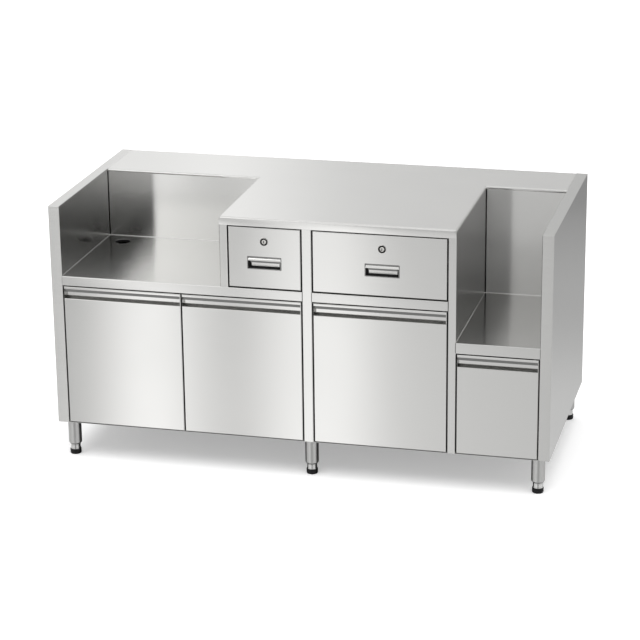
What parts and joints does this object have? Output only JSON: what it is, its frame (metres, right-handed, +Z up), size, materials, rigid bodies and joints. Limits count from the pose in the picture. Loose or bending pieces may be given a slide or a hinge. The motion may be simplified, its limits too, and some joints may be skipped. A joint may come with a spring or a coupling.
{
  "type": "cashier counter",
  "caption": "Free-standing stainless steel cashier counter with a T-shaped top, two lower side decks, locking drawers, hinged cupboard doors with finger grooves, and levelling feet.",
  "frame": {"origin": "on the floor, under the middle of the counter's outer box", "axes": "+X along the counter, to the right as the cashier sees it; +Y from the cashier to the customer; +Z up"},
  "size_m": [1.8, 0.822, 0.95],
  "materials": {
    "brushed_steel": "fine brushed stainless steel",
    "plain_steel": "mill-finish stainless steel",
    "zinc_plate": "bright zinc plate",
    "lock_nickel": "nickel plate",
    "black_nylon": "moulded black nylon",
    "catch_plastic": "moulded pale plastic"
  },
  "bodies": {
    "counter": {"side_panel_left": "brushed_steel", "side_panel_right": "brushed_steel", "side_lining_left": "plain_steel", "side_lining_right": "plain_steel", "worktop": "brushed_steel", "back_panel": "brushed_steel", "bottom_sheet": "plain_steel", "well_wall_left": "brushed_steel", "well_wall_right": "brushed_steel", "deck_left": "brushed_steel", "deck_right": "brushed_steel", "drawer_floor": "brushed_steel", "partition_left": "brushed_steel", "partition_center": "brushed_steel", "partition_right": "brushed_steel", "runner_small_left": "zinc_plate", "runner_small_right": "zinc_plate", "runner_large_left": "zinc_plate", "runner_large_right": "zinc_plate", "door_catch_far_left": "catch_plastic", "door_catch_mid_left": "catch_plastic", "door_catch_center": "catch_plastic", "door_catch_right": "catch_plastic", "leg_front_left": "brushed_steel", "leg_front_middle": "brushed_steel", "leg_front_right": "brushed_steel", "leg_rear_left": "brushed_steel", "leg_rear_middle": "brushed_steel", "leg_rear_right": "brushed_steel"},
    "drawer_small": {"drawer_front_small": "brushed_steel", "drawer_box_small": "plain_steel", "drawer_pull_small": "brushed_steel", "drawer_rail_small_left": "zinc_plate", "drawer_rail_small_right": "zinc_plate", "lock_body_small": "lock_nickel"},
    "drawer_large": {"drawer_front_large": "brushed_steel", "drawer_box_large": "plain_steel", "drawer_pull_large": "brushed_steel", "drawer_rail_large_left": "zinc_plate", "drawer_rail_large_right": "zinc_plate", "lock_body_large": "lock_nickel"},
    "lock_small": {"lock_plug_small": "lock_nickel", "lock_cam_small": "zinc_plate"},
    "lock_large": {"lock_plug_large": "lock_nickel", "lock_cam_large": "zinc_plate"},
    "door_far_left": {"door_skin_far_left": "brushed_steel", "door_back_far_left": "plain_steel"},
    "door_mid_left": {"door_skin_mid_left": "brushed_steel", "door_back_mid_left": "plain_steel"},
    "door_center": {"door_skin_center": "brushed_steel", "door_back_center": "plain_steel"},
    "door_right": {"door_skin_right": "brushed_steel", "door_back_right": "plain_steel"},
    "foot_front_left": {"foot_front_left": "black_nylon"},
    "foot_front_middle": {"foot_front_middle": "black_nylon"},
    "foot_front_right": {"foot_front_right": "black_nylon"},
    "foot_rear_left": {"foot_rear_left": "black_nylon"},
    "foot_rear_middle": {"foot_rear_middle": "black_nylon"},
    "foot_rear_right": {"foot_rear_right": "black_nylon"}
  },
  "joints": [
    {"name": "door_far_left_hinge", "type": "hinge", "parent": "counter", "child": "door_far_left", "pos_m": [-0.843, -0.40205, 0.1382], "axis": [0, 0, -1], "range_deg": [0, 100]},
    {"name": "door_mid_left_hinge", "type": "hinge", "parent": "counter", "child": "door_mid_left", "pos_m": [0.006, -0.40205, 0.1382], "axis": [0, 0, 1], "range_deg": [0, 100]},
    {"name": "door_center_hinge", "type": "hinge", "parent": "counter", "child": "door_center", "pos_m": [0.522, -0.40205, 0.1382], "axis": [0, 0, 1], "range_deg": [0, 100]},
    {"name": "door_right_hinge", "type": "hinge", "parent": "counter", "child": "door_right", "pos_m": [0.843, -0.40205, 0.1382], "axis": [0, 0, 1], "range_deg": [0, 100]},
    {"name": "drawer_small_slide", "type": "slide", "parent": "counter", "child": "drawer_small", "axis": [0, -1, 0], "range_m": [0, 0.35]},
    {"name": "drawer_large_slide", "type": "slide", "parent": "counter", "child": "drawer_large", "axis": [0, -1, 0], "range_m": [0, 0.35]},
    {"name": "lock_small_turn", "type": "hinge", "parent": "drawer_small", "child": "lock_small", "pos_m": [-0.1105, -0.40905, 0.8665], "axis": [0, -1, 0], "range_deg": [0, 90]},
    {"name": "lock_large_turn", "type": "hinge", "parent": "drawer_large", "child": "lock_large", "pos_m": [0.3085, -0.40905, 0.8665], "axis": [0, -1, 0], "range_deg": [0, 90]},
    {"name": "foot_front_left_turn", "type": "hinge", "parent": "counter", "child": "foot_front_left", "pos_m": [-0.855, -0.36405, 0], "axis": [0, 0, 1], "continuous": true},
    {"name": "foot_front_middle_turn", "type": "hinge", "parent": "counter", "child": "foot_front_middle", "pos_m": [0.0405, -0.36405, 0], "axis": [0, 0, 1], "continuous": true},
    {"name": "foot_front_right_turn", "type": "hinge", "parent": "counter", "child": "foot_front_right", "pos_m": [0.855, -0.36405, 0], "axis": [0, 0, 1], "continuous": true},
    {"name": "foot_rear_left_turn", "type": "hinge", "parent": "counter", "child": "foot_rear_left", "pos_m": [-0.855, 0.36595, 0], "axis": [0, 0, 1], "continuous": true},
    {"name": "foot_rear_middle_turn", "type": "hinge", "parent": "counter", "child": "foot_rear_middle", "pos_m": [0.0405, 0.36595, 0], "axis": [0, 0, 1], "continuous": true},
    {"name": "foot_rear_right_turn", "type": "hinge", "parent": "counter", "child": "foot_rear_right", "pos_m": [0.855, 0.36595, 0], "axis": [0, 0, 1], "continuous": true}
  ]
}
